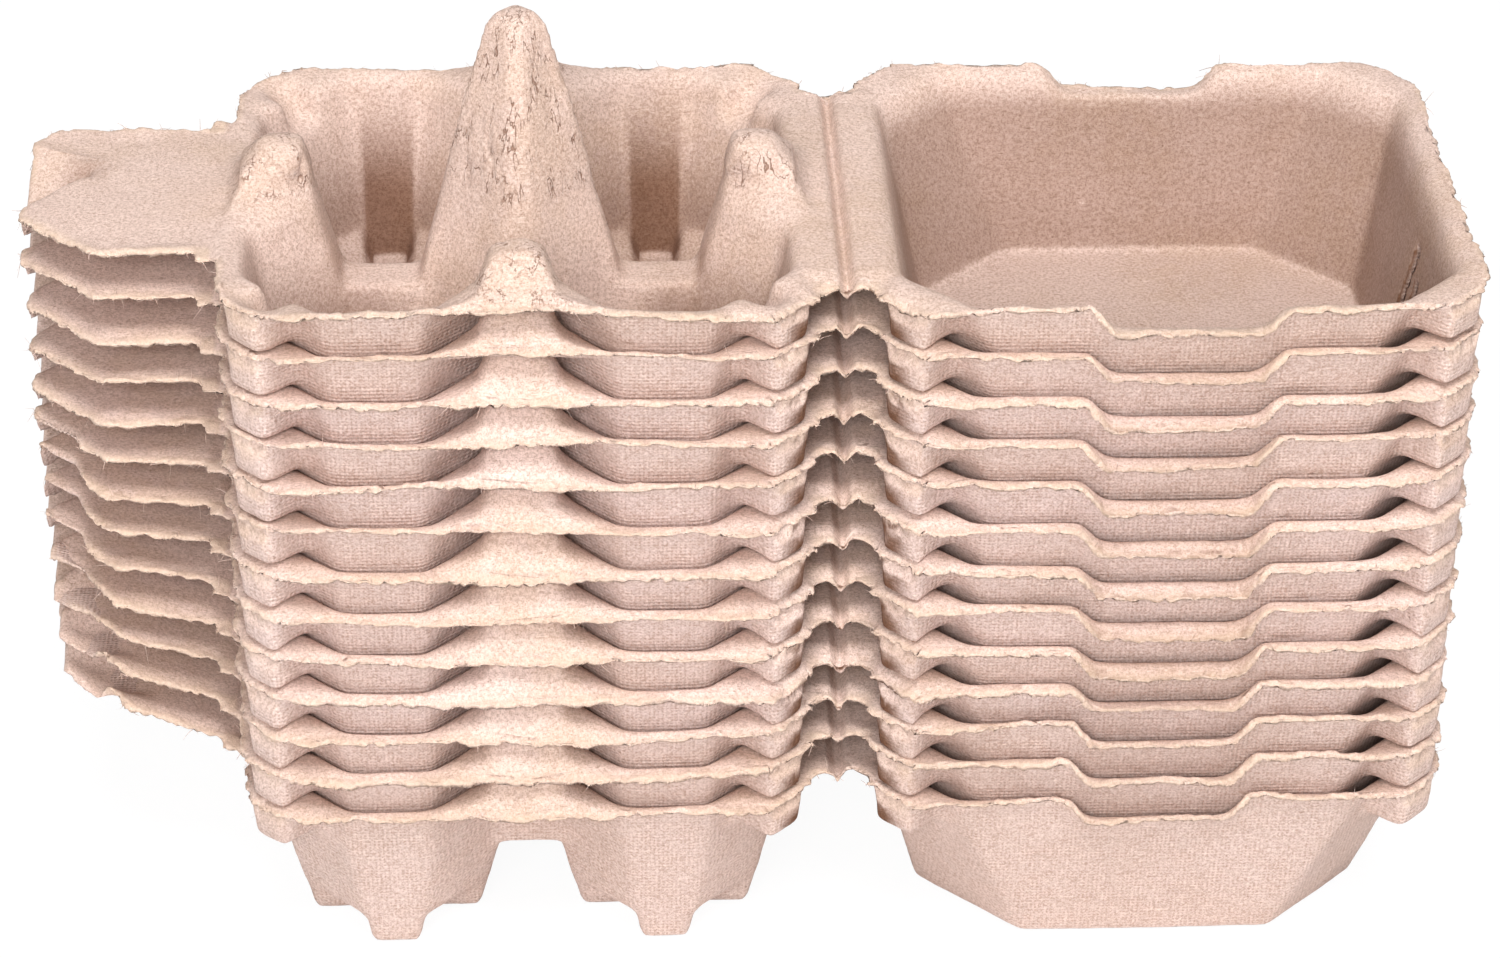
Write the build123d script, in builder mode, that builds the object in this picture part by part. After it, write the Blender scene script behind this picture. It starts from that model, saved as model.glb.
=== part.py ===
from build123d import *
from math import atan2, cos, degrees, radians, sin, sqrt, tan
import os

# A stack of moulded pulp cartons for four eggs, nested in each other and lying open.
# Each carton is one moulding: a tray of four cups, a lid joined to it by a creased hinge,
# and a locking flap on the tray's free side. The top carton's flap can swing, and is kept
# apart from its tray. X runs from the flap to the lid, Y from the front to the back, Z up.
# The bottom carton's cup feet and lid stand on Z = 0.

# Stack
carton_count = 13
nest_pitch = 8.3

# Pulp
wall = 1.4
floor_wall = 1.6
draft_angle = 13.5

# Rims of the tray and the lid, and the hinge between them
rim_width = 103.0
lid_rim_width = 105.5
rim_depth = 98.0
rim_corner_cut = 8.5
rim_corner_ease = 3.0
hinge_gap = 8.0
hinge_length = 75.0
groove_width = 4.0
groove_depth = 1.9
groove_wall = 1.2

# Cups of the tray
tray_height = 35.0
cell_pitch_x = 49.0
cell_pitch_y = 46.0
cup_half = 22.2
flute_half = 7.5
centre_flute_half = 10.8
saddle_depth = 17.0
channel_width = 21.6
bowl_height = 6.3
foot_width = 6.4

# Cone and posts between the cups
cone_height = 33.5
cone_draft = 11.5
cone_cap_height = 2.4
cone_cap_draft = 30.0
front_post_rise = 9.0
side_post_rise = 10.0
post_crest_length = 5.5
post_crest_half = 4.4
post_waist_half = 7.2
post_foot_half = 15.5
post_rim_margin = 1.2
post_clearance = 0.5

# Stacking lugs under the rim corners
lug_width = 9.0
lug_length = 12.0
lug_margin = 1.3
scoop_drop = 6.4
scoop_run = 6.8

# Lid
lid_height = 35.0
lid_lip_x = 5.0
lid_lip_y = 3.8
lid_corner_cut = 12.0
lid_corner_draft = 24.0
notch_top = 32.6
notch_bottom = 24.6
notch_depth = 5.0
slit_width = 0.9
slit_bottom = 26.0
long_slit_y = -8.0
long_slit_top = 9.6
short_slit_y = -13.8
short_slit_top = 14.0

# Locking flap
flap_length = 35.0
flap_width = 48.0
flap_back_cut = 5.0
flap_front_cut = 14.0
flap_root_width = 54.0
flap_root_length = 3.5
thumb_depth = 3.6
thumb_length = 14.0
thumb_centre = 7.0
thumb_mouth = 20.0
thumb_end = 8.0
thumb_slope = 40.0
flap_lift = 2.6
flap_lift_levels = 8

# Values worked out from the sizes above
slope = tan(radians(draft_angle))
skin = wall / cos(radians(draft_angle))
diagonal = sqrt(2)
tray_x = (flap_length - hinge_gap - lid_rim_width) / 2
hinge_x = tray_x + (rim_width + hinge_gap) / 2
lid_x = hinge_x + (hinge_gap + lid_rim_width) / 2
crease_x = tray_x - rim_width / 2
cell_x = cell_pitch_x / 2
cell_y = cell_pitch_y / 2
cup_corner = cup_half + flute_half
centre_corner = cup_half + centre_flute_half
rims = [(tray_x, rim_width), (lid_x, lid_rim_width)]
inner_depth = tray_height - floor_wall
cell_spots = [(tray_x - cell_x, -cell_y), (tray_x + cell_x, -cell_y)]
cell_spots += [(tray_x - cell_x, cell_y), (tray_x + cell_x, cell_y)]


def cut_square(half_x, half_y, corner, first_corner=None):
    """Points of a rectangle whose corners are cut so that x + y = corner on each cut, or
    first_corner on the cut between +X and +Y."""
    first = first_corner or corner
    points = [(half_x, first - half_x), (first - half_y, half_y), (half_y - corner, half_y)]
    points += [(-half_x, corner - half_x), (-half_x, half_x - corner), (half_y - corner, -half_y)]
    return points + [(corner - half_y, -half_y), (half_x, half_x - corner)]


def sink(outline, level, depth, angle):
    """A solid that goes down from a flat outline, its walls leaning in by the angle."""
    with BuildPart() as sunk:
        with BuildSketch(Plane.XY.offset(level)):
            add(outline)
        extrude(amount=-depth)
        walls = sunk.faces().filter_by(Plane.XY, reverse=True)
        draft(walls, neutral_plane=Plane.XY.offset(level), angle=-angle)
    return sunk.part


def cup_tool(grow, depth, with_bowl):
    """One cup from the rim to its feet, with the tray's centre towards +X and +Y. Its four
    flutes run straight down to the feet, and with_bowl draws the wall in between the feet to
    the bowl that the egg sits in."""
    with BuildSketch() as mouth:
        half = cup_half + grow
        centre_cut = centre_corner + diagonal * grow
        Polygon(*cut_square(half, half, cup_corner + diagonal * grow, centre_cut), align=None)
    cup = sink(mouth.sketch, 0.0, depth, draft_angle)
    if not with_bowl:
        return cup
    fold = depth - bowl_height - grow / 2
    fold_half = cup_half + grow - slope * fold
    fold_corner = cup_corner + diagonal * (grow - slope * fold)
    fold_flute = fold_corner - fold_half
    drop = depth - fold
    foot = foot_width / 2 + grow * 0.9
    with BuildSketch() as flute:
        Rectangle(3 * cup_half, 2 * fold_flute)
    across = sink(flute.sketch, -fold, drop, degrees(atan2(fold_flute - foot, drop)))
    with BuildSketch() as middle:
        Rectangle(diagonal * fold_corner, diagonal * fold_corner, rotation=45)
    bowl = sink(middle.sketch, -fold, drop, degrees(atan2(fold_corner / diagonal - diagonal * foot, drop)))
    with BuildPart() as shaped:
        with BuildSketch():
            Rectangle(3 * cup_half, 3 * cup_half)
        extrude(amount=-fold)
        add([bowl, across, across.rotate(Axis.Z, 90)])
        add(cup, mode=Mode.INTERSECT)
    return shaped.part


def channel_tool(length, width, grow, depth):
    """The trough over a saddle that joins two neighbouring cups."""
    with BuildSketch() as trough:
        Rectangle(length, width + 2 * grow)
    return sink(trough.sketch, 0.0, depth, draft_angle)


def cone_tool(grow, base, top):
    """The hollow cone in the middle of the tray, from the level base up. Its flat sides carry
    on the channel walls, and its slanting sides the cup walls."""
    inset = grow + slope * base
    half_x = cell_x - channel_width / 2 - inset
    half_y = cell_y - channel_width / 2 - inset
    corner = cell_x + cell_y - centre_corner - diagonal * (grow + tan(radians(cone_draft)) * base)
    with BuildPart() as flats:
        with BuildSketch(Plane.XY.offset(base)):
            Rectangle(2 * half_x, 2 * half_y)
        extrude(amount=top - base, taper=draft_angle)
    with BuildPart() as cone:
        with BuildSketch(Plane.XY.offset(base)):
            Rectangle(diagonal * corner, diagonal * corner, rotation=45)
        extrude(amount=top - base, taper=cone_draft)
        add(flats.part, mode=Mode.INTERSECT)
    return cone.part.moved(Location((tray_x, 0, 0)))


def capped_cone():
    """The cone's outside with its blunt cap."""
    trunk = cone_tool(0.0, 0.0, cone_height - cone_cap_height)
    with BuildPart() as cone:
        add(trunk)
        extrude(cone.faces().sort_by(Axis.Z)[-1], amount=cone_cap_height, taper=cone_cap_draft)
    return cone.part


def post_tool(turn, reach, across, rim_half, rise, grow, base):
    """A post at the middle of a tray side, seen with +X pointing out of the tray. Its flanks
    carry on the cup walls, its back the channel wall, and its front slopes to the rim, which
    it meets in a flare on both sides."""
    inset = grow + slope * base
    back = reach + channel_width / 2 + inset
    front = rim_half - post_rim_margin
    flank = cup_corner + reach - across + diagonal * inset
    crest = reach + channel_width / 2 + slope * rise + post_crest_length
    face = atan2(rise, front - crest)
    far = front + rise
    front_plane = Plane(origin=(front - grow / sin(face), 0, 0), z_dir=(sin(face), 0, cos(face)))
    with BuildPart() as post:
        with BuildSketch(Plane.XY.offset(base)):
            Polygon((back, flank - back), (far, flank - far), (far, far - flank), (back, back - flank),
                    align=None)
        extrude(amount=rise - base - grow, taper=draft_angle)
        split(bisect_by=front_plane, keep=Keep.BOTTOM)
        with BuildSketch(Plane.YZ):
            Polygon((-post_foot_half, -rise), (-post_foot_half, 0), (-post_waist_half, rise / 2),
                    (-post_crest_half, rise), (post_crest_half, rise), (post_waist_half, rise / 2),
                    (post_foot_half, 0), (post_foot_half, -rise), align=None)
            if grow > 0:
                offset(amount=-grow, kind=Kind.INTERSECTION, mode=Mode.REPLACE)
        extrude(amount=far, mode=Mode.INTERSECT)
    return post.part.moved(Location((tray_x, 0, 0), (0, 0, turn)))


def post_socket(turn, reach, rim_half, rise):
    """The socket under an inner carton's post, which takes the tip of the post below."""
    hidden = rise - nest_pitch
    back = reach + channel_width / 2 + slope * (nest_pitch - floor_wall) - post_clearance
    crest = reach + channel_width / 2 + slope * rise + post_crest_length
    front = crest + (rim_half - post_rim_margin - crest) * (hidden + floor_wall) / rise + post_clearance
    half = post_waist_half
    with BuildPart() as socket:
        with BuildSketch(Plane.XY.offset(-floor_wall)):
            with Locations(((back + front) / 2, 0)):
                Rectangle(front - back, 2 * half)
        extrude(amount=hidden + floor_wall + post_clearance, taper=draft_angle)
    return socket.part.moved(Location((tray_x, 0, 0), (0, 0, turn)))


def lid_tool(grow, depth):
    """The lid's pan. The slanting walls in its corners lean in more than its sides."""
    half_x = lid_rim_width / 2 - lid_lip_x + grow
    half_y = rim_depth / 2 - lid_lip_y + grow
    corner = (lid_rim_width + rim_depth) / 2 - lid_lip_x - lid_lip_y - lid_corner_cut + diagonal * grow
    with BuildSketch() as sides:
        with Locations((lid_x, 0)):
            Rectangle(2 * half_x, 2 * half_y)
    with BuildSketch() as corners:
        with Locations((lid_x, 0)):
            Rectangle(diagonal * corner, diagonal * corner, rotation=45)
    pan = sink(sides.sketch, 0.0, depth, draft_angle)
    cuts = sink(corners.sketch, 0.0, depth, lid_corner_draft)
    with BuildPart() as lid:
        add(pan)
        add(cuts, mode=Mode.INTERSECT)
    return lid.part


def rim_plate():
    """The flat rims of tray and lid with the hinge strip between them and its groove."""
    groove_half = groove_width / 2
    under = groove_depth + groove_wall
    under_half = groove_half * (under - floor_wall) / groove_depth
    with BuildPart() as plate:
        with BuildSketch() as outline:
            for centre, width in rims:
                with Locations((centre, 0)):
                    Rectangle(width, rim_depth)
            chamfer(outline.vertices(), rim_corner_cut)
            ends = outline.vertices().filter_by(lambda v: abs(v.X - hinge_x) > rim_width / 2)
            chamfer(ends, rim_corner_ease)
            with Locations((hinge_x, 0)):
                Rectangle(3 * hinge_gap, hinge_length)
        extrude(amount=-floor_wall)
        with BuildSketch(Plane.XZ):
            with Locations((hinge_x, 0)):
                Polygon((-under_half, -floor_wall), (0, -under), (under_half, -floor_wall), align=None)
        extrude(amount=hinge_length / 2, both=True)
        with BuildSketch(Plane.XZ):
            with Locations((hinge_x, 0)):
                Polygon((-groove_half, 0), (0, -groove_depth), (groove_half, 0), align=None)
        extrude(amount=hinge_length / 2, both=True, mode=Mode.SUBTRACT)
    return plate.part


def lug_planes():
    """An upright plane through each rim corner, the tray's four first, with its X axis pointing
    out of the corner and its origin on the lug's outer face."""
    planes = []
    for centre, width in rims:
        inward = rim_corner_cut / 2 + lug_margin / diagonal
        for side_x in (-1, 1):
            for side_y in (-1, 1):
                corner = (centre + side_x * (width / 2 - inward), side_y * (rim_depth / 2 - inward), 0)
                planes.append(Plane(origin=corner, x_dir=(side_x, side_y, 0), z_dir=(side_y, -side_x, 0)))
    return planes


def lug_tool():
    """The eight stacking lugs under the rim corners."""
    with BuildPart() as lugs:
        for plane in lug_planes():
            with BuildSketch(plane):
                Polygon((0, 0), (-lug_length, 0), (-lug_length, -nest_pitch), (0, -nest_pitch), align=None)
            extrude(amount=lug_width / 2, both=True)
    return lugs.part


def lug_scoops():
    """The sloping scoops in the tray's rim corners, which lead down from the lugs to the cups."""
    with BuildPart() as scoops:
        for plane in lug_planes()[:4]:
            with BuildSketch(plane):
                Polygon((-wall, 0), (-lug_length, 0), (-lug_length, -scoop_drop),
                        (-wall - scoop_run, -scoop_drop), align=None)
            extrude(amount=lug_width / 2 - wall, both=True)
    return scoops.part


def notch_tool(grow, inner_y):
    """The dips in the lid's front and back rims, that clear the tray's posts when shut."""
    run = (notch_top - notch_bottom) / 2
    depth = notch_depth + grow
    top = notch_top / 2 + grow / sin(atan2(notch_depth, run))
    low = top - run * depth / notch_depth
    with BuildPart() as notch:
        with BuildSketch(Plane.XZ.offset(inner_y)):
            with Locations((lid_x, 0)):
                Polygon((-top, 0), (-low, -depth), (low, -depth), (top, 0), align=None)
        extrude(amount=rim_depth / 2 - inner_y)
        mirror(about=Plane.XZ)
    return notch.part


def slit_tool():
    """The two cuts beside the latch tab in the lid's far wall."""
    far_wall = lid_x + lid_rim_width / 2 - lid_lip_x
    with BuildPart() as slits:
        for y, top in ((long_slit_y, long_slit_top), (short_slit_y, short_slit_top)):
            with BuildSketch(Plane.XY.offset(-slit_bottom)):
                with Locations((far_wall - slope * slit_bottom, y)):
                    Rectangle(3 * lid_lip_x, slit_width)
            extrude(amount=slit_bottom - top)
    return slits.part


def tray_parts(grow, cup_depth, trough_depth, with_bowl):
    """The four cups and the four troughs between them."""
    cup = cup_tool(grow, cup_depth, with_bowl)
    turns = (0, 90, 270, 180)
    across = channel_tool(cell_pitch_x, channel_width, grow, trough_depth)
    along = channel_tool(cell_pitch_y, channel_width, grow, trough_depth).rotate(Axis.Z, 90)
    parts = [cup.moved(Location((*spot, 0), (0, 0, turn))) for spot, turn in zip(cell_spots, turns)]
    parts += [across.moved(Location((tray_x, side * cell_y, 0))) for side in (-1, 1)]
    parts += [along.moved(Location((tray_x + side * cell_x, 0, 0))) for side in (-1, 1)]
    return parts


def post_parts(grow, base):
    """The four posts that stand above the rim, or the hollows under them."""
    parts = []
    for turn in (-90, 90):
        parts.append(post_tool(turn, cell_y, cell_x, rim_depth / 2, front_post_rise, grow, base))
        parts.append(post_tool(turn + 90, cell_x, cell_y, rim_width / 2, side_post_rise, grow, base))
    return parts


def shell_tool(with_bowl, with_top):
    """Tray, hinge and lid of one carton, with the rims' upper face on Z = 0. A carton that is
    covered leaves out its scoops, slits and the cone's cap, and one that has no bowl also
    has plain sockets under its posts."""
    walls = [rim_plate(), lug_tool(), lid_tool(skin, lid_height)]
    walls.append(notch_tool(floor_wall, rim_depth / 2 - 2 * lid_lip_y))
    walls += tray_parts(skin, tray_height, saddle_depth + floor_wall, with_bowl)
    hollows = [lid_tool(0.0, lid_height - floor_wall), notch_tool(0.0, rim_depth / 2 - 3 * lid_lip_y)]
    hollows += tray_parts(0.0, inner_depth, saddle_depth, with_bowl)
    rises = post_parts(0.0, 0.0)
    undersides = [cone_tool(skin, -floor_wall, cone_height - floor_wall)]
    if with_top:
        rises.append(capped_cone())
        hollows += [slit_tool(), lug_scoops()]
    else:
        rises.append(cone_tool(0.0, 0.0, cone_height))
    if with_bowl:
        undersides += post_parts(skin, -floor_wall)
    else:
        for turn in (-90, 90):
            undersides.append(post_socket(turn, cell_y, rim_depth / 2, front_post_rise))
            undersides.append(post_socket(turn + 90, cell_x, rim_width / 2, side_post_rise))
    with BuildPart() as shell:
        add(walls)
        add(hollows, mode=Mode.SUBTRACT)
        add(rises)
        add(undersides, mode=Mode.SUBTRACT)
    return shell.part


def flap_tool(lift, root):
    """The locking flap, lifted by an angle about its crease, with the scoop at its end. Its
    root reaches that far into the rim."""
    scoops = []
    for grow in (wall, 0.0):
        mouth = thumb_mouth / 2 + grow
        inner_half = thumb_end / 2 + grow
        inner = -flap_length + thumb_length + grow
        with BuildSketch() as scoop:
            with Locations((0, thumb_centre)):
                Polygon((inner, -inner_half), (inner, inner_half), (-flap_length, mouth),
                        (-2 * flap_length, mouth), (-2 * flap_length, -mouth), (-flap_length, -mouth),
                        align=None)
        scoops.append(sink(scoop.sketch, 0.0, thumb_depth + grow, thumb_slope))
    with BuildPart() as flap:
        with BuildSketch() as outline:
            with Locations((-flap_length / 2, 0)):
                Rectangle(flap_length, flap_width)
            end = outline.vertices().group_by(Axis.X)[0].sort_by(Axis.Y)
            chamfer(end[-1], flap_back_cut)
            end = outline.vertices().group_by(Axis.X)[0].sort_by(Axis.Y)
            chamfer(end[0], flap_front_cut)
            with Locations(((root - flap_root_length) / 2, 0)):
                Rectangle(flap_root_length + root, flap_root_width)
        extrude(amount=-wall)
        add(scoops[0])
        add(scoops[1], mode=Mode.SUBTRACT)
        split(bisect_by=Plane.YZ.offset(-flap_length), keep=Keep.TOP)
    return flap.part.moved(Location((crease_x, 0, 0), (0, lift, 0)))


os.makedirs("parts", exist_ok=True)
shells = [shell_tool(True, False)] + [shell_tool(False, False)] * (carton_count - 2)

# The cartons below the top one, each with its flap caught under the flap above
for level, shell in enumerate(shells):
    rim_level = Location((0, 0, tray_height + level * nest_pitch))
    flap = flap_tool(flap_lift * max(flap_lift_levels - level, 0), wall / 2)
    with BuildPart() as carton:
        add([shell.moved(rim_level), flap.moved(rim_level)])
    carton.part.label = f"carton_{level + 1:02d}"
    export_step(carton.part, f"parts/carton_{level + 1:02d}.step")

# The top carton, whose flap is free to swing
top_level = Location((0, 0, tray_height + (carton_count - 1) * nest_pitch))
top_shell = shell_tool(True, True)
with BuildPart() as top_carton:
    add(top_shell.moved(top_level))
top_carton.part.label = f"carton_{carton_count:02d}"
export_step(top_carton.part, f"parts/carton_{carton_count:02d}.step")

top_flap = flap_tool(0.0, 0.0)
with BuildPart() as locking_flap:
    add(top_flap.moved(top_level))
locking_flap.part.label = "locking_flap"
export_step(locking_flap.part, "parts/locking_flap.step")
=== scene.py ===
import math

import bpy
import numpy as np
from mathutils import Euler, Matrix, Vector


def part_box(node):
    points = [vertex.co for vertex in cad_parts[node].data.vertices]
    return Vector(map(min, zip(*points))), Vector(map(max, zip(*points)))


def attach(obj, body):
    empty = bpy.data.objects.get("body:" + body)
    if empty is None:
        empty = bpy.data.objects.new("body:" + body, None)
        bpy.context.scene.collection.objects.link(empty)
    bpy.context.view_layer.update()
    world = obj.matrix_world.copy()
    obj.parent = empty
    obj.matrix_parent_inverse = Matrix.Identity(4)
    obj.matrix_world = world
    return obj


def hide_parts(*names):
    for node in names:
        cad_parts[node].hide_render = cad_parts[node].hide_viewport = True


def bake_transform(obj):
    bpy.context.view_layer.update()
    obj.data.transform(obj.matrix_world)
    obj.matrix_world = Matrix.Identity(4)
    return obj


# A stack of moulded pulp egg cartons. Every carton is rebuilt from its solid as soft pulp: folds
# are rounded, rims are wavy and torn, and loose fibres stand out of the torn edges. Lengths in
# the shaping functions are millimetres, measured from the carton's own rim.

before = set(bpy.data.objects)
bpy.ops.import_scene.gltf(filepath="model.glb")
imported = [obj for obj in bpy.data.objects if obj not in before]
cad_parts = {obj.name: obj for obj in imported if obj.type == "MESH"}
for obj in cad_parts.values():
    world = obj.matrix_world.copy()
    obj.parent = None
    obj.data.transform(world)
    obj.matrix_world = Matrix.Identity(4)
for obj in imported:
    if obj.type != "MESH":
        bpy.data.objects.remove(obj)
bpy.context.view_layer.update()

MM = 0.001

# Sizes of the solids, as in the part
tray_height = 35.0
tray_x = -39.25
lid_x = 73.0
hinge_x = 16.25
tray_half_x = 51.5
lid_half_x = 52.75
rim_half_y = 49.0
notch_depth = 5.0
rim_corner_cut = 8.5
hinge_half_x = 12.0
hinge_half_y = 37.5
crease_x = -90.75
flap_length = 35.0
flap_half = 24.0
flap_back_cut = 5.0
flap_front_cut = 14.0
flap_lift = 2.6
flap_lift_levels = 8
thumb_centre = 7.0
nest_pitch = 8.3
post_rises = (9.0, 10.0)  # front and back posts, side posts
side_post_reach = 38.8    # from the tray's middle to a side post's crest
cup_centre = (24.5, 23.0)
flute_half = 5.2
slits = ((-8.0, -26.0, -9.6), (-13.8, -26.0, -14.0))  # y, lower end, upper end

# Mesh detail, for the open top carton, the bottom one and those in between
voxel = 0.72
round_steps = 24
face_budget = {"top": 190000, "bottom": 92000, "inner": 55000}
hidden_share = {"top": 0.12, "bottom": 0.08, "inner": 0.03}
fibre_count = 350

# Loose fibres, shortest to longest and thinnest to thickest
fibre_length = (0.4, 1.4)
fibre_radius = (0.05, 0.11)

# A post's width at heights above the rim, as a share of the solid's
bell_heights = (-0.4, 1.0, 2.2, 4.5, 7.0, 9.0)
bell_widths = (1.0, 0.72, 0.64, 0.8, 0.95, 1.06)

# Wires of the mould's mesh
wire_pitch = 0.78

# The photograph's camera, in metres and radians. The focal length and the row that the camera's
# axis meets are in the photograph's pixels.
photo_focal = 4576.2
photo_middle = 555.7
sensor_width = 36.0
camera_place = (-0.02883, -0.71585, 0.49667)
camera_turn = (1.02175, -0.01194, -0.04469)
camera_lens = 109.8
camera_shift = (-0.0243, 0.0511)

# Rows of the photograph at which the rims' front edges are seen, in pixels from its top, from the
# top carton down
tray_rows = (321, 359, 412, 455, 496, 542, 591, 634, 678, 718, 757, 795, 830)
hinge_rows = (293, 333, 375, 419, 458, 504, 545, 585, 625, 670, 704, 739, 777)
notch_rows = (341, 389, 440, 476, 520, 574, 610, 646, 685, 719, 753, 787, 826)
rim_offset_limit = 1.6
even_share = 0.7  # share of a column's mean that counts as even

names = sorted(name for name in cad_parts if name.startswith("carton_"))
top_name = names[-1]


# Noise

def lattice_noise(points, lump, seed):
    """Smooth noise from -1 to 1 at each point, with lumps of about that size. lump may have one
    size for each axis."""
    table = np.random.default_rng(seed).uniform(-1, 1, 8192)
    scaled = points / np.asarray(lump, float) + 137.0
    cell = np.floor(scaled).astype(np.int64)
    part = scaled - cell
    part = part * part * (3 - 2 * part)
    total = np.zeros(len(points))
    for corner in range(8):
        step = np.array([corner & 1, corner >> 1 & 1, corner >> 2 & 1])
        weight = np.prod(np.where(step, part, 1 - part), axis=1)
        key = (cell + step) @ np.array([73856093, 19349663, 83492791])
        total += weight * table[key & 8191]
    return total


def fade(value, start, end):
    """0 before start, 1 after end, smooth between them."""
    share = np.clip((value - start) / (end - start), 0, 1)
    return share * share * (3 - 2 * share)


# Heights of the rims

def photo_row(x, y, z):
    """Row of the photograph at which a point is seen, given in millimetres."""
    turn = np.array(Euler(camera_turn).to_matrix())
    _, up, back = turn.T @ (np.array([x, y, z]) * MM - camera_place)
    return photo_middle + photo_focal * up / back


def measured_offsets():
    """How far each carton's rim stands above or below an even nest at its front: at the middle of
    the tray, at the hinge and at the lid's notch, from the bottom carton up."""
    top_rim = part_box(top_name)[0][2] / MM + tray_height
    columns = []
    for x, y, drop, rows in ((tray_x, -rim_half_y, 0.0, tray_rows),
                             (hinge_x, -hinge_half_y, 0.0, hinge_rows),
                             (lid_x, -rim_half_y, notch_depth, notch_rows)):
        column = []
        for count, row in enumerate(rows):
            z = top_rim - drop - nest_pitch * count
            even = photo_row(x, y, z)
            column.append((row - even) / (photo_row(x, y, z + 1.0) - even))
        columns.append(column)
    offsets = np.array(columns).T
    offsets -= even_share * offsets.mean(axis=0)
    return np.round(np.clip(offsets, -rim_offset_limit, rim_offset_limit)[::-1], 1)


rim_offsets = measured_offsets()


# Outline of a carton seen from above

def cut_rectangle(x, y, centre, half_x, half_y, cut):
    """Distance outside a rectangle with cut corners, negative inside."""
    across = np.abs(x - centre)
    along = np.abs(y)
    sides = np.maximum(across - half_x, along - half_y)
    corners = (across + along - half_x - half_y + cut) / math.sqrt(2)
    return np.maximum(sides, corners)


def shell_distance(x, y):
    """Distance outside the rims and the hinge, negative inside."""
    tray = cut_rectangle(x, y, tray_x, tray_half_x, rim_half_y, rim_corner_cut)
    lid = cut_rectangle(x, y, lid_x, lid_half_x, rim_half_y, rim_corner_cut)
    hinge = cut_rectangle(x, y, hinge_x, hinge_half_x, hinge_half_y, 0.0)
    return np.minimum(np.minimum(tray, lid), hinge)


def flap_distance(x, y):
    """Distance outside the flap, negative inside, with x measured from the crease."""
    sides = np.maximum(-flap_length - x, np.abs(y) - flap_half)
    back = (y - x - flap_half - flap_length + flap_back_cut) / math.sqrt(2)
    front = (-y - x - flap_half - flap_length + flap_front_cut) / math.sqrt(2)
    return np.maximum(sides, np.maximum(back, front))


def turned(points, angle):
    """Points turned about the crease by an angle in degrees, which lifts the flap."""
    c = math.cos(math.radians(angle))
    s = math.sin(math.radians(angle))
    x = points[:, 0] - crease_x
    z = points[:, 2]
    out = points.copy()
    out[:, 0] = crease_x + x * c + z * s
    out[:, 2] = -x * s + z * c
    return out


def edge_of(points, lift):
    """How close each point is to the torn outer edge, from 0 to 1, the distance to that edge, the
    direction that leads out of the carton, and 1 for points at the level of the sheet that ends
    there."""
    flat = turned(points, -lift)
    on_flap = points[:, 0] < crease_x - 0.6
    step = 0.05

    def distance(dx, dy):
        rim = shell_distance(points[:, 0] + dx, points[:, 1] + dy)
        flap = flap_distance(flat[:, 0] - crease_x + dx, points[:, 1] + dy)
        return np.where(on_flap, flap, rim)

    inside = distance(0.0, 0.0)
    out = np.stack([distance(step, 0.0) - inside, distance(0.0, step) - inside], axis=1) / step
    level = np.where(on_flap, flat[:, 2], points[:, 2])
    band = fade(level, -3.6, -2.0) * (1 - fade(level, 1.2, 2.5))
    notch = (np.abs(points[:, 0] - lid_x) < 18.5) & (np.abs(points[:, 1]) > rim_half_y - 3.6)
    notch_band = fade(level, -9.0, -7.4) * (1 - fade(level, 1.0, 2.0))
    band = np.where(notch, notch_band, band)
    root = np.where(on_flap, 1.0, fade(np.abs(points[:, 1]), 26.0, 28.0))
    root = np.where(points[:, 0] > crease_x + 4.0, 1.0, root)
    return band * root * fade(inside, -2.6, -0.4), inside, out, band * root


# Meshes

def combined(node_names):
    """One new mesh with the shapes of some CAD nodes."""
    coords, faces, start = [], [], 0
    for name in node_names:
        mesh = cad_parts[name].data
        co = np.empty(len(mesh.vertices) * 3)
        mesh.vertices.foreach_get("co", co)
        mesh.calc_loop_triangles()
        tri = np.empty(len(mesh.loop_triangles) * 3, np.int32)
        mesh.loop_triangles.foreach_get("vertices", tri)
        coords.append(co.reshape(-1, 3))
        faces.append(tri.reshape(-1, 3) + start)
        start += len(mesh.vertices)
    made = bpy.data.meshes.new("pulp")
    made.from_pydata(np.concatenate(coords), [], np.concatenate(faces).tolist())
    return made


def applied(obj, kind, **settings):
    """The object's mesh after one modifier."""
    modifier = obj.modifiers.new(kind, kind)
    for key, value in settings.items():
        setattr(modifier, key, value)
    graph = bpy.context.evaluated_depsgraph_get()
    result = bpy.data.meshes.new_from_object(obj.evaluated_get(graph))
    obj.modifiers.clear()
    obj.data = result


def coordinates(mesh):
    co = np.empty(len(mesh.vertices) * 3, np.float32)
    mesh.vertices.foreach_get("co", co)
    return co.reshape(-1, 3).astype(float)


def normals(mesh):
    out = np.empty(len(mesh.vertices) * 3, np.float32)
    mesh.vertex_normals.foreach_get("vector", out)
    return out.reshape(-1, 3).astype(float)


def relaxed(mesh, points, amount, steps):
    """Points moved towards their neighbours' mean, by each one's amount, which rounds folds."""
    pairs = np.empty(len(mesh.edges) * 2, np.int32)
    mesh.edges.foreach_get("vertices", pairs)
    a, b = pairs.reshape(-1, 2).T
    count = len(points)
    share = np.bincount(a, minlength=count) + np.bincount(b, minlength=count)
    for _ in range(steps):
        mean = np.empty_like(points)
        for axis in range(3):
            mean[:, axis] = np.bincount(a, points[b, axis], count)
            mean[:, axis] += np.bincount(b, points[a, axis], count)
        points = points + (mean / share[:, None] - points) * amount[:, None]
    return points


# Shape of the pulp

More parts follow.
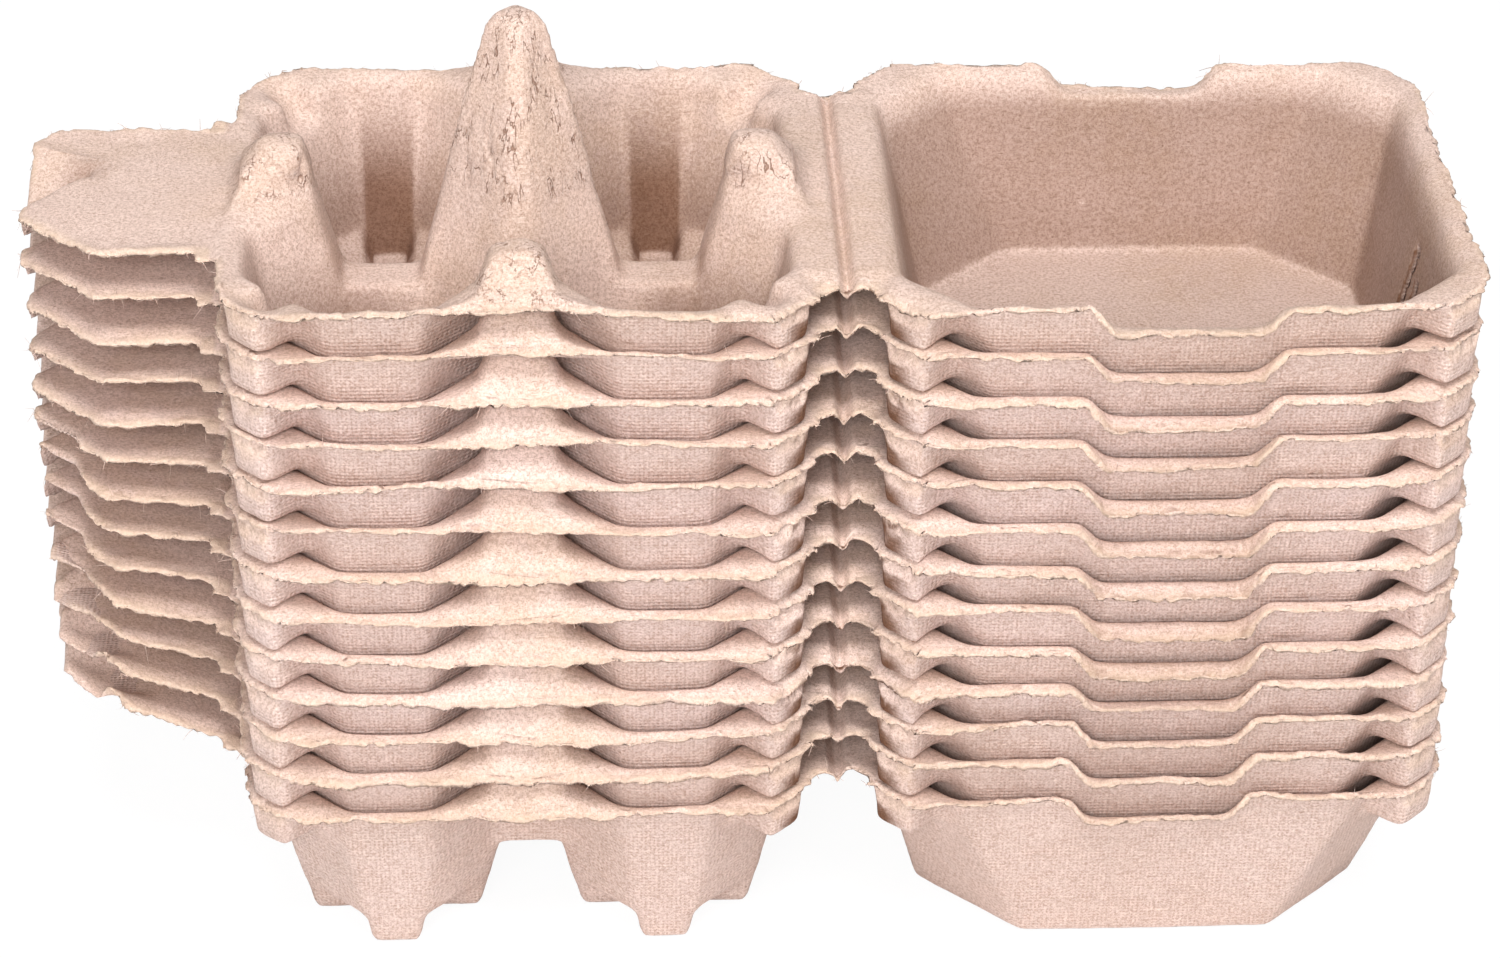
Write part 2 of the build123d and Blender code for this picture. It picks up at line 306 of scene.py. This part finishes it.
def softness(points, edge):
    """How far each point gives way while the folds are rounded, from 0 to 0.5."""
    groove = (1 - fade(np.abs(points[:, 0] - hinge_x), 3.2, 6.0)) * fade(points[:, 2], -7.0, -4.5)
    raised = fade(points[:, 2], 1.5, 5.0)
    deep = fade(-points[:, 2], 6.0, 12.0)
    flap = 1 - fade(points[:, 0], crease_x - 2.0, crease_x)
    far_wall = fade(points[:, 0], lid_x + 34.0, lid_x + 36.0) * (1 - fade(points[:, 2], -8.0, -6.0))
    cut = np.zeros(len(points))
    for y, _, _ in slits:
        cut = np.maximum(cut, far_wall * (1 - fade(np.abs(points[:, 1] - y), 2.0, 3.2)))
    firm = np.max([0.94 * edge, 0.9 * groove, 0.7 * raised, 0.5 * deep, 0.78 * flap, cut], axis=0)
    return 0.5 * (1 - firm)


def bell_posts(points):
    """Gives the posts their bell shape: a round stem that flares just over the rim. The crests of
    the side posts are a little longer."""
    shaped = points.copy()
    for axis, rise in zip((0, 1), post_rises):
        across = points[:, axis] - (tray_x, 0.0)[axis]
        out = np.abs(points[:, 1 - axis] - (tray_x, 0.0)[1 - axis])
        near = fade(out, 29.0, 31.0) * (1 - fade(np.abs(across), 17.0, 19.0)) * (points[:, 0] < hinge_x - 2)
        height = points[:, 2] * 9.0 / rise
        shaped[:, axis] += across * (np.interp(height, bell_heights, bell_widths) - 1) * near
        crown = fade(height, 4.5, 9.0) * near * np.clip(across / 5.5, -1.3, 1.3) ** 2
        shaped[:, 2] -= 2.4 * crown
    beyond = np.abs(points[:, 0] - tray_x) - side_post_reach
    near = fade(points[:, 2], 1.5, 5.0) * (1 - fade(np.abs(points[:, 1]), 12.0, 16.0))
    near = near * (1 - fade(np.abs(beyond), 7.0, 10.0)) * (points[:, 0] < hinge_x - 2)
    shaped[:, 0] += 0.22 * beyond * near * np.sign(points[:, 0] - tray_x)
    return shaped


def thumb_scoop(points, lift):
    """Shapes the scoop at the flap's end: a steep lip at the front and a long slope to the back."""
    flat = turned(points, -lift)
    x = flat[:, 0] - crease_x
    y = points[:, 1]
    half = np.interp(x, [-flap_length, -flap_length + 14.0], [10.0, 4.0])
    inner = (x + flap_length - 14.0) * -0.9
    made = np.clip(1.19 * np.minimum(half - np.abs(y - thumb_centre), inner), 0, 3.6)
    along = np.clip((-23.0 - x) / 12.0, 0, 1)
    front = 7.0 - 13.0 * along
    back = 9.5 + 8.0 * along
    across = (y - front) / (back - front)
    slope = np.clip(np.minimum(across / 0.16, (1 - across) / 0.84), 0, 1)
    wanted = (2.4 + 4.6 * along ** 0.7) * slope * fade(-x, 22.5, 24.5)
    shaped = points.copy()
    shaped[:, 2] += (made - wanted) * fade(-x, 15.0, 17.0)
    return shaped


def rim_offset(points, level):
    """How far the rim is lifted, smooth along the rims and fading to the back."""
    tray, hinge, lid = rim_offsets[level]
    lift = np.interp(points[:, 0], [crease_x, tray_x, hinge_x, lid_x, lid_x + lid_half_x],
                     [0.3 * tray, tray, hinge, lid, 0.3 * lid])
    return lift * (1 - fade(points[:, 1], -30.0, 20.0))


def weathered(points, normal, lift, level, seed):
    """Points of a carton with wavy torn rims, uneven walls and soft wrinkles."""
    edge, inside, out, band = edge_of(points, lift)
    rim = fade(inside, -5.5, -0.5) * fade(points[:, 2], -9.5, -7.0) * (1 - fade(points[:, 2], 2.0, 5.0))
    on_flap = 1 - fade(points[:, 0], crease_x - 1.5, crease_x + 0.5)
    level_points = points * np.array([1.0, 1.0, 0.25])
    moved = points.copy()

    wave = 0.5 * lattice_noise(level_points, 26.0, seed) + 0.36 * lattice_noise(level_points, 9.0, seed + 1)
    wave += 0.2 * lattice_noise(level_points, 3.2, seed + 2)
    moved[:, 2] += rim * (wave + rim_offset(points, level) * (1 - on_flap))

    # The sheet thins out towards its torn edge, from below
    below = fade(-normal[:, 2], 0.1, 0.6)
    thin = band * fade(inside, -5.0, -0.9) * below
    moved[:, 2] += thin * (0.95 - 0.25 * on_flap)

    # The groove pressed along the hinge, with a low ridge on either side
    across = points[:, 0] - hinge_x
    pressed = 0.35 * np.exp(-((np.abs(across) - 1.7) / 0.7) ** 2) - 0.8 * np.exp(-(across / 0.8) ** 2)
    moved[:, 2] += pressed * fade(points[:, 2], -6.0, -4.0) * fade(normal[:, 2], 0.0, 0.4)

    calm = 1 - 0.4 * on_flap
    ragged = lattice_noise(points, 1.05, seed + 5)
    tear = 0.5 * lattice_noise(level_points, 7.0, seed + 3) + 0.42 * lattice_noise(points, 2.3, seed + 4)
    tear += 0.55 * ragged - 0.9 + 0.5 * on_flap
    tear = np.minimum(tear * calm, 0.4)
    moved[:, :2] += out * (edge * tear)[:, None]
    moved[:, 2] += edge * 0.34 * lattice_noise(points, 1.3, seed + 9)

    soft = 0.13 * lattice_noise(points, 9.0, seed + 6) + 0.06 * lattice_noise(points, 2.6, seed + 7)
    soft += 0.05 * lattice_noise(points, 1.3, seed + 8) * (0.6 + 2.0 * edge)
    moved += normal * soft[:, None]
    return moved


def wrinkled(points, normal, seed):
    """Points of the top carton with creases on the cone and posts and at the flap's fold."""
    height = fade(points[:, 2], 0.5, 6.0)
    narrow = lattice_noise(points, (3.4, 3.4, 15.0), seed)
    fine = lattice_noise(points, (1.8, 1.8, 8.0), seed + 1)
    crack = -0.32 * np.exp(-(narrow / 0.09) ** 2) - 0.16 * np.exp(-(fine / 0.12) ** 2)
    patchy = fade(lattice_noise(points, 11.0, seed + 2), -0.1, 0.5)
    near_fold = np.exp(-((points[:, 0] - crease_x) / 3.2) ** 2) * fade(points[:, 2], -4.0, -2.0)
    fold = 0.3 * lattice_noise(points, (1.6, 9.0, 9.0), seed + 3) * near_fold
    fold -= 0.3 * np.exp(-((points[:, 0] - crease_x) / 1.0) ** 2) * near_fold
    return points + normal * (height * patchy * crack + fold)[:, None]


def set_coordinates(mesh, points, rim_level):
    mesh.vertices.foreach_set("co", ((points + rim_level) * MM).astype(np.float32).ravel())
    mesh.update()


def pulp_carton(name, node_names, role, lift, level, seed):
    """A carton rebuilt as pulp from its solids."""
    mesh = combined(node_names)
    piece = bpy.data.objects.new(name, mesh)
    bpy.context.scene.collection.objects.link(piece)
    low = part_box(node_names[0])[0][2]
    rim_level = np.array([0.0, 0.0, low / MM + tray_height])
    if role == "top":
        open_slits(mesh, rim_level)
    applied(piece, "REMESH", mode="VOXEL", voxel_size=voxel * MM, adaptivity=0.0)

    mesh = piece.data
    points = coordinates(mesh) / MM - rim_level
    edge, inside, _, _ = edge_of(points, lift)
    firmness = softness(points, edge)
    points = thumb_scoop(bell_posts(points), lift)
    points = relaxed(mesh, points, firmness, round_steps)
    set_coordinates(mesh, points, rim_level)
    hidden = hidden_points(points, inside, normals(mesh), role)
    group = piece.vertex_groups.new(name="hidden")
    group.add(np.flatnonzero(hidden).tolist(), 1.0, "REPLACE")
    ratio = 1 - hidden.mean() * (1 - hidden_share[role])
    applied(piece, "DECIMATE", ratio=ratio, vertex_group="hidden", vertex_group_factor=0.01,
            use_collapse_triangulate=True)
    piece.vertex_groups.clear()

    mesh = piece.data
    points = coordinates(mesh) / MM - rim_level
    normal = normals(mesh)
    shaped = weathered(points, normal, lift, level, seed)
    if role == "top":
        shaped = wrinkled(shaped, normal, seed + 20)
    set_coordinates(mesh, shaped, rim_level)
    budget = face_budget[role] // 1
    if len(mesh.polygons) > budget:
        applied(piece, "DECIMATE", ratio=budget / len(mesh.polygons), use_collapse_triangulate=True)
    finish_mesh(piece, rim_level, lift, role, seed)
    return piece


def open_slits(mesh, rim_level):
    """Widens the two thin cuts in the lid's far wall, so that the new mesh keeps them open."""
    points = coordinates(mesh) / MM - rim_level
    for y, _, _ in slits:
        beside = (np.abs(points[:, 1] - y) < 0.6) & (points[:, 0] > lid_x + 30.0)
        points[beside, 1] += 0.9 * np.sign(points[beside, 1] - y)
    set_coordinates(mesh, points, rim_level)


def hidden_points(points, inside, normal, role):
    """The points that no view reaches, because the cartons above and below cover them."""
    deep = points[:, 2] < -nest_pitch - 1.5
    covered = (inside < -6.5) & (normal[:, 2] > 0.1) & (points[:, 0] > crease_x)
    above = (points[:, 2] > 0.6) & (points[:, 0] > crease_x)
    underneath = (normal[:, 2] < -0.05) & (inside < -5.5) & (points[:, 0] > crease_x)
    if role == "top":
        return underneath & (deep | (inside < -12.0))
    if role == "bottom":
        return (covered | above) & (normal[:, 2] > -0.05)
    return deep | covered | above


def finish_mesh(piece, rim_level, lift, role, seed):
    """Smooth shading, and what the material needs to know: torn edges, outer faces, the stems that
    crack as they dry, each carton's own tint, and the painted shade in its hollows and under the hinge."""
    mesh = piece.data
    points = coordinates(mesh) / MM - rim_level
    normal = normals(mesh)
    edge, _, _, _ = edge_of(points, lift)
    outer = 1 - fade(normal[:, 2], -0.12, 0.08)
    stem = fade(points[:, 2], 0.3, 3.0) * (role == "top")
    # Painted shade: how far the colour is darkened where shade falls in the lid, cups, flutes, slits, scoop
    # and under the hinge.
    painted_shade = painted_shade_of(points, normal, outer, role)
    tint = np.full(len(points), np.random.default_rng(seed).uniform(-1, 1))
    for name, values in (("edge", edge), ("outer", outer), ("stem", stem), ("tint", tint),
                         ("painted_shade", painted_shade)):
        attribute = mesh.attributes.new(name, "FLOAT", "POINT")
        attribute.data.foreach_set("value", values.astype(np.float32))
    mesh.polygons.foreach_set("use_smooth", np.ones(len(mesh.polygons), bool))
    mesh.update()


def painted_shade_of(points, normal, outer, role):
    """How much painted shade darkens the pulp, from 0 at the rims to 1: down in the lid and the cups,
    most of all in their flutes and the lid's slits, and in the folds under the hinge, where shade falls."""
    x, y, z = points.T
    steep = 1 - fade(normal[:, 2], 0.55, 0.85)
    # Painted shade deep in the lid, stronger on its steep walls.
    in_lid = fade(x, hinge_x + 9.0, hinge_x + 13.0)
    lid = in_lid * fade(-z, 1.5, 8.0) * (0.14 + 0.42 * steep)

    # Painted shade deep in the cups, darkest in the recesses of their flutes.
    off_centre = np.hypot(x - tray_x, y)
    in_tray = (1 - fade(x, hinge_x - 9.0, hinge_x - 6.0)) * (x > crease_x)
    in_cups = in_tray * fade(off_centre, 19.0, 27.0)
    cups = in_cups * fade(-z, 6.0, 28.0) * (0.2 + 0.4 * steep)
    along_x = np.abs(np.abs(x - tray_x) - cup_centre[0])
    along_y = np.abs(np.abs(y) - cup_centre[1])
    back = (1 - fade(along_x, flute_half - 1.2, flute_half + 0.6)) * fade(np.abs(y), 31.0, 34.0)
    side = (1 - fade(along_y, flute_half - 1.2, flute_half + 0.6)) * fade(np.abs(x - tray_x), 33.0, 36.0)
    flutes = in_cups * steep * np.maximum(back, side) * fade(-z, 0.0, 22.0) * 0.9

    # Painted shade along the slits in the lid's far wall.
    far_wall = fade(x, lid_x + 34.0, lid_x + 36.0)
    cut = np.zeros(len(x))
    for slit_y, low, high in slits:
        beside = 1 - fade(np.abs(y - slit_y), 1.4, 2.2)
        cut = np.maximum(cut, far_wall * beside * (z > low) * (z < high))
    # Painted shade in the hollow of the top flap's thumb scoop.
    off_scoop = np.hypot(x - crease_x + 25.0, y - thumb_centre - 1.5)
    scoop = np.exp(-(off_scoop / 3.5) ** 2) * (role == "top")
    upper = np.max([lid, cups, flutes, cut, 0.5 * scoop], axis=0) * (1 - outer)

    # Painted shade on the outer faces in the folds under the hinge.
    under = (1 - fade(np.abs(x - hinge_x), 8.0, 11.5)) * fade(-z, 1.0, 3.5)
    return np.maximum(upper, under * outer)


def fibres(name, piece, count, seed):
    """Loose fibres that stand out of a carton's torn edges, as thin closed tubes."""
    rng = np.random.default_rng(seed)
    mesh = piece.data
    points = coordinates(mesh)
    normal = normals(mesh)
    edge = np.empty(len(points), np.float32)
    mesh.attributes["edge"].data.foreach_get("value", edge)
    spots = np.flatnonzero(edge > 0.72)
    chosen = rng.choice(spots, count)
    start = points[chosen] - normal[chosen] * 0.15 * MM
    heading = normal[chosen] + rng.normal(0, 0.9, (count, 3))
    heading /= np.linalg.norm(heading, axis=1)[:, None]
    bend = rng.normal(0, 0.9, (count, 3))
    length = rng.uniform(*fibre_length, count)[:, None] * MM
    radius = rng.uniform(*fibre_radius, count)[:, None] * MM
    side = np.cross(heading, rng.normal(0, 1, (count, 3)))
    side /= np.linalg.norm(side, axis=1)[:, None]
    other = np.cross(heading, side)
    rings = 4
    corners = 3
    coords = np.empty((count, rings, corners, 3))
    for ring in range(rings):
        along = ring / (rings - 1)
        centre = start + heading * length * along + bend * length * along ** 2 * 0.8
        for corner in range(corners):
            angle = 2 * math.pi * corner / corners
            spoke = side * math.cos(angle) + other * math.sin(angle)
            coords[:, ring, corner] = centre + spoke * radius * (1 - 0.6 * along)
    faces = []
    for ring in range(rings - 1):
        for corner in range(corners):
            after = (corner + 1) % corners
            low = ring * corners
            faces.append((low + corner, low + after, low + corners + after, low + corners + corner))
    last = (rings - 1) * corners
    ends = [(2, 1, 0), (last, last + 1, last + 2)]
    quads = (np.array(faces)[None] + (np.arange(count) * rings * corners)[:, None, None]).reshape(-1, 4)
    tris = (np.array(ends)[None] + (np.arange(count) * rings * corners)[:, None, None]).reshape(-1, 3)
    made = bpy.data.meshes.new(name)
    made.from_pydata(coords.reshape(-1, 3), [], quads.tolist() + tris.tolist())
    made.polygons.foreach_set("use_smooth", np.ones(len(made.polygons), bool))
    obj = bpy.data.objects.new(name, made)
    bpy.context.scene.collection.objects.link(obj)
    return obj


# Materials

class Nodes:
    """Short calls for building one node tree."""

    def __init__(self, tree):
        self.tree = tree

    def add(self, kind, **settings):
        node = self.tree.nodes.new(kind)
        for key, value in settings.items():
            setattr(node, key, value)
        return node

    def put(self, socket, value):
        if hasattr(value, "is_output"):
            self.tree.links.new(value, socket)
        else:
            socket.default_value = value

    def math(self, operation, *values):
        node = self.add("ShaderNodeMath", operation=operation)
        for socket, value in zip(node.inputs, values):
            self.put(socket, value)
        return node.outputs[0]

    def mix(self, factor, a, b, blend="MIX"):
        node = self.add("ShaderNodeMix", data_type="RGBA", blend_type=blend)
        self.put(node.inputs[0], factor)
        self.put(node.inputs[6], a)
        self.put(node.inputs[7], b)
        return node.outputs[2]

    def noise(self, vector, scale, detail=2.0, rough=0.5):
        node = self.add("ShaderNodeTexNoise")
        self.put(node.inputs["Vector"], vector)
        node.inputs["Scale"].default_value = scale
        node.inputs["Detail"].default_value = detail
        node.inputs["Roughness"].default_value = rough
        return node.outputs["Fac"]

    def ramp(self, value, start, end, low=0.0, high=1.0):
        node = self.add("ShaderNodeMapRange", interpolation_type="SMOOTHSTEP")
        self.put(node.inputs["Value"], value)
        for key, number in (("From Min", start), ("From Max", end), ("To Min", low), ("To Max", high)):
            node.inputs[key].default_value = number
        return node.outputs["Result"]

    def attribute(self, name):
        return self.add("ShaderNodeAttribute", attribute_name=name).outputs["Fac"]


def colour(red, green, blue):
    """A colour given as it looks on screen, from 0 to 255."""
    def linear(value):
        value /= 255
        return value / 12.92 if value <= 0.04045 else ((value + 0.055) / 1.055) ** 2.4
    return (linear(red), linear(green), linear(blue), 1.0)


def scaled_place(n, place, scale, rotation=(0.0, 0.0, 0.0)):
    """The place turned and scaled, which stretches the noise that reads it."""
    node = n.add("ShaderNodeMapping")
    n.put(node.inputs["Vector"], place)
    node.inputs["Rotation"].default_value = rotation
    node.inputs["Scale"].default_value = scale
    return node.outputs[0]


def upright_cracks(n, place, blotch):
    """Fine cracks that run up the cone and the posts, in patches."""
    split = n.noise(scaled_place(n, place, (1.0, 1.0, 0.2)), 360.0, 3.0, 0.6)
    line = n.math("ABSOLUTE", n.math("SUBTRACT", split, 0.5))
    cracks = n.math("MULTIPLY", n.ramp(line, 0.004, 0.016, 1.0, 0.0), n.ramp(blotch, 0.42, 0.56))
    return n.math("MULTIPLY", cracks, n.attribute("stem"))


def mesh_imprint(n, place):
    """The mesh of the mould's outer half, a square grid of wires."""
    axes = n.add("ShaderNodeSeparateXYZ")
    n.put(axes.inputs[0], place)
    facing = n.add("ShaderNodeSeparateXYZ")
    n.put(facing.inputs[0], n.add("ShaderNodeTexCoord").outputs["Normal"])
    total = 0.0
    for axis in range(3):
        wave = n.math("COSINE", n.math("MULTIPLY", axes.outputs[axis], 2 * math.pi / (wire_pitch * MM)))
        along = n.math("POWER", n.math("ABSOLUTE", facing.outputs[axis]), 2.0)
        total = n.math("ADD", total, n.math("MULTIPLY", wave, n.math("SUBTRACT", 1.0, along)))
    return total


def pulp_material(name, fuzzy=False):
    """Recycled pulp: mottled pinkish tan, dark specks and pale fibres, with the mould's wire mesh
    pressed into the outer faces and pale, rough torn edges, and painted shade in its hollows."""
    material = bpy.data.materials.new(name)
    material.use_nodes = True
    tree = material.node_tree
    n = Nodes(tree)
    shader = tree.nodes["Principled BSDF"]
    place = n.add("ShaderNodeTexCoord").outputs["Object"]

    outer = n.attribute("outer")
    edge = n.attribute("edge")
    cloudy = n.noise(place, 42.0, 3.0)
    blotch = n.noise(place, 210.0, 4.0, 0.6)
    grain = n.noise(place, 1700.0, 3.0, 0.7)
    dust = n.noise(place, 4200.0, 2.0, 0.6)
    clouds = n.ramp(cloudy, 0.36, 0.64)
    # Inner faces are paler than outer ones: partly the smooth side's own colour, partly painted light that
    # brightens the upward faces.
    inside = n.mix(clouds, colour(228, 203, 194), colour(215, 188, 173))
    outside = n.mix(clouds, colour(216, 194, 189), colour(208, 185, 178))
    base = n.mix(outer, inside, outside)
    base = n.mix(n.ramp(blotch, 0.42, 0.66, 0.0, 0.6), base, colour(222, 197, 189))
    tint = n.math("MULTIPLY_ADD", n.attribute("tint"), 0.5, 0.5)
    base = n.mix(n.math("MULTIPLY", tint, 0.3), base, colour(206, 180, 161))
    base = n.mix(n.ramp(grain, 0.46, 0.62, 0.0, 0.5), base, colour(165, 136, 120))
    base = n.mix(n.ramp(grain, 0.46, 0.34, 0.0, 0.3), base, colour(244, 226, 216))
    base = n.mix(n.ramp(dust, 0.50, 0.66, 0.0, 0.5), base, colour(150, 116, 95))

    stretched = scaled_place(n, place, (1.0, 5.0, 5.0), (0.4, 0.2, 0.7))
    strands = n.noise(stretched, 420.0, 2.0, 0.7)
    base = n.mix(n.ramp(strands, 0.62, 0.70, 0.0, 0.5), base, colour(240, 219, 207))
    flecks = n.noise(stretched, 700.0, 1.0, 0.5)
    base = n.mix(n.ramp(flecks, 0.71, 0.77, 0.0, 0.6), base, colour(132, 98, 76))

    speck = n.add("ShaderNodeTexVoronoi", feature="F1")
    n.put(speck.inputs["Vector"], place)
    speck.inputs["Scale"].default_value = 420.0
    dots = n.ramp(speck.outputs["Distance"], 0.04, 0.10, 0.5, 0.0)
    base = n.mix(dots, base, colour(124, 90, 68))

    cracks = upright_cracks(n, place, blotch)
    base = n.mix(n.math("MULTIPLY", cracks, 0.75), base, colour(122, 86, 64))

    wires = n.math("MULTIPLY", mesh_imprint(n, place), n.ramp(blotch, 0.3, 0.6, 0.35, 1.0))
    wires = n.math("MULTIPLY", wires, outer)
    if not fuzzy:
        base = n.mix(n.ramp(wires, -0.2, -1.4, 0.0, 0.35), base, colour(150, 116, 98))
        base = n.mix(n.math("MULTIPLY", edge, 0.5), base, colour(216, 190, 165))
    # Painted shade: the colour is multiplied towards this brown in the hollows and under the hinge, where
    # shade falls.
    base = n.mix(n.attribute("painted_shade"), base, colour(142, 114, 93), blend="MULTIPLY")
    n.put(shader.inputs["Base Color"], base)
    shader.inputs["Roughness"].default_value = 0.92
    shader.inputs["Specular IOR Level"].default_value = 0.2

    height = n.math("MULTIPLY", wires, 0.2)
    height = n.math("ADD", height, n.math("MULTIPLY", grain, 0.5))
    height = n.math("ADD", height, n.math("MULTIPLY", strands, 0.3))
    height = n.math("SUBTRACT", height, n.math("MULTIPLY", cracks, 0.8))
    rough_edge = n.math("MULTIPLY", n.noise(place, 900.0, 4.0, 0.75), edge)
    height = n.math("ADD", height, n.math("MULTIPLY", rough_edge, 1.3))
    bump = n.add("ShaderNodeBump")
    bump.inputs["Strength"].default_value = 0.75
    bump.inputs["Distance"].default_value = 0.32 * MM
    n.put(bump.inputs["Height"], height)
    n.put(shader.inputs["Normal"], bump.outputs[0])
    return material


# The object

pulp = pulp_material("pulp")
fuzz = pulp_material("pulp_fibres", fuzzy=True)
for level, node in enumerate(names):
    seed = 100 * (level + 1)
    lift = flap_lift * max(flap_lift_levels - level, 0)
    if node == top_name:
        piece = pulp_carton("top_carton", [node, "locking_flap"], "top", 0.0, level, seed)
    else:
        role = "bottom" if level == 0 else "inner"
        piece = pulp_carton(f"pulp_{node}", [node], role, lift, level, seed)
    piece.data.materials.append(pulp)
    hairs = fibres(f"fibres_{level + 1:02d}", piece, fibre_count, seed + 50)
    hairs.data.materials.append(fuzz)
    if node == top_name:
        for part in (piece, hairs):
            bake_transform(part)
        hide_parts(node, "locking_flap")
    else:
        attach(piece, "stack")
        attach(hairs, "stack")
        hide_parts(node)


# Floor, light and camera

def backdrop():
    """A white floor that takes the object's shadow."""
    mesh = bpy.data.meshes.new("floor")
    reach = 6.0
    mesh.from_pydata([(-reach, -reach, 0), (reach, -reach, 0), (reach, reach, 0), (-reach, reach, 0)],
                     [], [(0, 1, 2, 3)])
    floor = bpy.data.objects.new("floor", mesh)
    bpy.context.scene.collection.objects.link(floor)
    floor.location.z = -0.0004
    material = bpy.data.materials.new("floor")
    material.use_nodes = True
    n = Nodes(material.node_tree)
    paper = material.node_tree.nodes["Principled BSDF"]
    paper.inputs["Base Color"].default_value = (0.9, 0.9, 0.9, 1)
    paper.inputs["Roughness"].default_value = 0.9
    glow = n.add("ShaderNodeEmission")
    seen = n.add("ShaderNodeLightPath")
    blend = n.add("ShaderNodeMixShader")
    glow.inputs["Strength"].default_value = 1.04
    n.put(blend.inputs[0], n.math("MULTIPLY", seen.outputs["Is Camera Ray"], 0.9))
    n.put(blend.inputs[1], paper.outputs[0])
    n.put(blend.inputs[2], glow.outputs[0])
    n.put(material.node_tree.nodes["Material Output"].inputs["Surface"], blend.outputs[0])
    mesh.materials.append(material)


def softbox(name, place, target, width, height, power):
    lamp = bpy.data.lights.new(name, "AREA")
    lamp.shape = "RECTANGLE"
    lamp.size = width
    lamp.size_y = height
    lamp.energy = power
    obj = bpy.data.objects.new(name, lamp)
    bpy.context.scene.collection.objects.link(obj)
    obj.location = place
    aim = np.array(target) - np.array(place)
    yaw = math.atan2(aim[1], aim[0])
    pitch = math.atan2(aim[2], math.hypot(aim[0], aim[1]))
    obj.rotation_euler = (math.pi / 2 + pitch, 0, yaw - math.pi / 2)


def white_world(strength):
    """Even light from all round, seen as white."""
    world = bpy.data.worlds.new("studio")
    bpy.context.scene.world = world
    world.use_nodes = True
    n = Nodes(world.node_tree)
    background = world.node_tree.nodes["Background"]
    path = n.add("ShaderNodeLightPath")
    seen = n.math("MAXIMUM", path.outputs["Is Camera Ray"], path.outputs["Is Glossy Ray"])
    seen = n.math("MAXIMUM", seen, path.outputs["Is Transmission Ray"])
    n.put(background.inputs["Strength"], n.math("MULTIPLY_ADD", seen, 1.0 - strength, strength))
    background.inputs["Color"].default_value = (1, 1, 1, 1)


backdrop()
white_world(0.12)
centre = (0.0, 0.0, 0.08)
softbox("key", (-0.3, -1.5, 0.85), centre, 1.0, 0.7, 23.5)
softbox("top", (0.1, -0.7, 1.5), centre, 0.8, 0.6, 21.0)
softbox("side", (1.4, -0.5, 0.7), centre, 0.8, 1.0, 3.0)
softbox("back", (-0.5, 1.5, 1.0), centre, 1.2, 0.8, 4.0)

camera = bpy.data.cameras.new("camera")
view = bpy.data.objects.new("camera", camera)
bpy.context.scene.collection.objects.link(view)
bpy.context.scene.camera = view
view.location = camera_place
view.rotation_euler = camera_turn
camera.lens = camera_lens
camera.sensor_width = sensor_width
camera.shift_x, camera.shift_y = camera_shift
camera.clip_start = 0.01
bpy.context.scene.view_settings.view_transform = "Standard"
